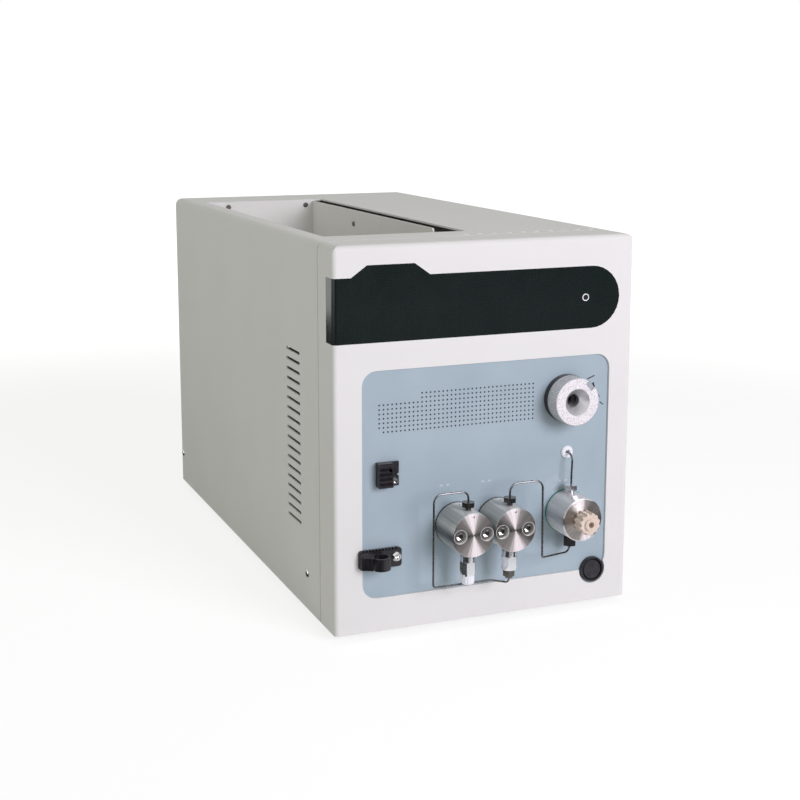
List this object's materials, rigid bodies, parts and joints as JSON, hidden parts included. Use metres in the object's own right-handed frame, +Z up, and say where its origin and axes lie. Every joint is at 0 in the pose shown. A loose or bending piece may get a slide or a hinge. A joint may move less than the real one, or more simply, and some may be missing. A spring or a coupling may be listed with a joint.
{
  "type": "liquid chromatography pump module",
  "caption": "Bench-top chromatography pump: tall grey case with dark display strip, twin steel pump heads, purge valve, injector knob, clips and a top bottle well.",
  "frame": {"origin": "centre of the overall box in plan, on the plane the feet stand on", "axes": "+Z up, the instrument's front faces -Y, +X to the right of someone facing the front"},
  "size_m": [0.2628, 0.5472, 0.314],
  "materials": {
    "cover_paint": "light grey textured paint",
    "bezel_paint": "light grey moulding",
    "zinc_sheet": "zinc plated sheet",
    "window_filter": "dark glossy filter",
    "led_lens": "clear lens in a ring",
    "panel_paint": "grey blue satin paint",
    "well_paint": "light grey paint",
    "zinc_screw": "bright zinc",
    "foot_rubber": "black rubber",
    "black_gasket": "black seal",
    "turned_steel": "turned stainless steel",
    "satin_steel": "satin stainless steel",
    "white_polymer": "white polymer",
    "capillary_steel": "drawn stainless capillary",
    "teal_gasket": "teal seal",
    "mirror_steel": "polished stainless steel",
    "dark_steel": "blackened steel",
    "tan_polymer": "tan polymer",
    "black_anodised": "black anodised",
    "pale_anodised": "pale bead blasted",
    "black_plastic": "black moulding",
    "cast_aluminium": "cast aluminium",
    "motor_black": "black enamel",
    "belt_rubber": "toothed belt rubber",
    "board_green": "green board",
    "psu_case": "folded aluminium case"
  },
  "bodies": {
    "casing": {"base_chassis": "zinc_sheet", "cover": "cover_paint", "rear_panel": "zinc_sheet", "front_bezel": "bezel_paint", "display_window": "window_filter", "status_led": "led_lens", "front_panel": "panel_paint", "bottle_well": "well_paint", "well_screws": "zinc_screw", "cover_screws": "zinc_screw", "side_rivets": "zinc_screw", "feet": "foot_rubber", "head_gaskets": "black_gasket", "head_1": "turned_steel", "head_2": "turned_steel", "head_screws": "zinc_screw", "outlet_nuts": "satin_steel", "check_valves": "satin_steel", "inlet_nut": "white_polymer", "crossover_nut": "satin_steel", "tube_crossover": "capillary_steel", "tube_to_purge": "capillary_steel", "tube_from_injector": "capillary_steel", "purge_gasket": "teal_gasket", "purge_body": "mirror_steel", "purge_top_nut": "satin_steel", "purge_low_nut": "dark_steel", "tube_grommet": "white_polymer", "injector_ring": "black_anodised", "injector_valve": "turned_steel", "switch_housing": "black_plastic", "upper_clip": "black_plastic", "lower_clip": "black_plastic", "clip_screws": "zinc_screw", "pump_drive": "cast_aluminium", "motor": "motor_black", "motor_bracket": "zinc_sheet", "drive_belt": "belt_rubber", "power_supply": "psu_case", "control_board": "board_green", "board_standoffs": "zinc_screw", "display_board": "board_green", "fan_frame": "black_plastic", "fan_guard": "zinc_screw", "mains_inlet": "black_plastic", "data_port": "satin_steel", "rear_screws": "zinc_screw"},
    "injector_handle": {"injector_knob": "pale_anodised", "needle_port": "black_plastic"},
    "purge_handle": {"purge_knob": "tan_polymer"},
    "rocker": {"switch_rocker": "black_plastic"},
    "cam_shaft": {"cam_pulley": "pale_anodised"},
    "motor_shaft": {"motor_pulley": "pale_anodised"},
    "fan": {"fan_rotor": "black_plastic"}
  },
  "joints": [
    {"name": "injector_turn", "type": "hinge", "parent": "casing", "child": "injector_handle", "pos_m": [0.071, -0.24035, 0.182], "axis": [0, 1, 0], "range_deg": [0, 60]},
    {"name": "purge_turn", "type": "hinge", "parent": "casing", "child": "purge_handle", "pos_m": [0.0723, -0.26035, 0.0866], "axis": [0, -1, 0], "range_deg": [0, 270]},
    {"name": "rocker_tilt", "type": "hinge", "parent": "casing", "child": "rocker", "pos_m": [0.0983, -0.22885, 0.033], "axis": [1, 0, 0], "range_deg": [0, 16]},
    {"name": "cam_spin", "type": "hinge", "parent": "casing", "child": "cam_shaft", "pos_m": [0.03775, -0.17055, 0.0866], "axis": [1, 0, 0], "continuous": true},
    {"name": "motor_spin", "type": "hinge", "parent": "casing", "child": "motor_shaft", "pos_m": [0.03775, -0.08055, 0.0866], "axis": [1, 0, 0], "continuous": true},
    {"name": "fan_spin", "type": "hinge", "parent": "casing", "child": "fan", "pos_m": [0.064, 0.25555, 0.086], "axis": [0, 1, 0], "continuous": true}
  ],
  "couplings": [
    {"joint": "motor_spin", "follows": "cam_spin", "ratio": 2.2}
  ]
}
